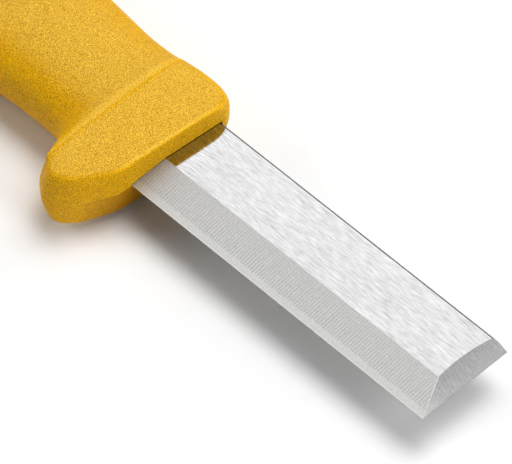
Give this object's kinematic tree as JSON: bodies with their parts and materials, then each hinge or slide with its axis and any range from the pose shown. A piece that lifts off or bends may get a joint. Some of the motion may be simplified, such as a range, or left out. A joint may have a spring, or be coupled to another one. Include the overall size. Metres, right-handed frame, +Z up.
{
  "type": "chisel knife",
  "caption": "Fixed-blade chisel knife: a straight steel blade ground along one side and across its square tip, in a one-piece moulded plastic handle with a finger guard.",
  "frame": {"origin": "middle of the bounding box at its lowest level, with the knife lying on its side", "axes": "+X along the knife towards the blade's tip, +Y across the blade from the cutting edge to the spine, +Z up, square to the blade's flats"},
  "size_m": [0.1938, 0.0434, 0.0188],
  "materials": {
    "blade_steel": "flats brushed along the blade, bevels ground across, edges honed bright",
    "handle_plastic": "warm yellow with a fine moulded grain"
  },
  "bodies": {
    "root": {"blade": "blade_steel", "handle": "handle_plastic"}
  },
  "joints": []
}
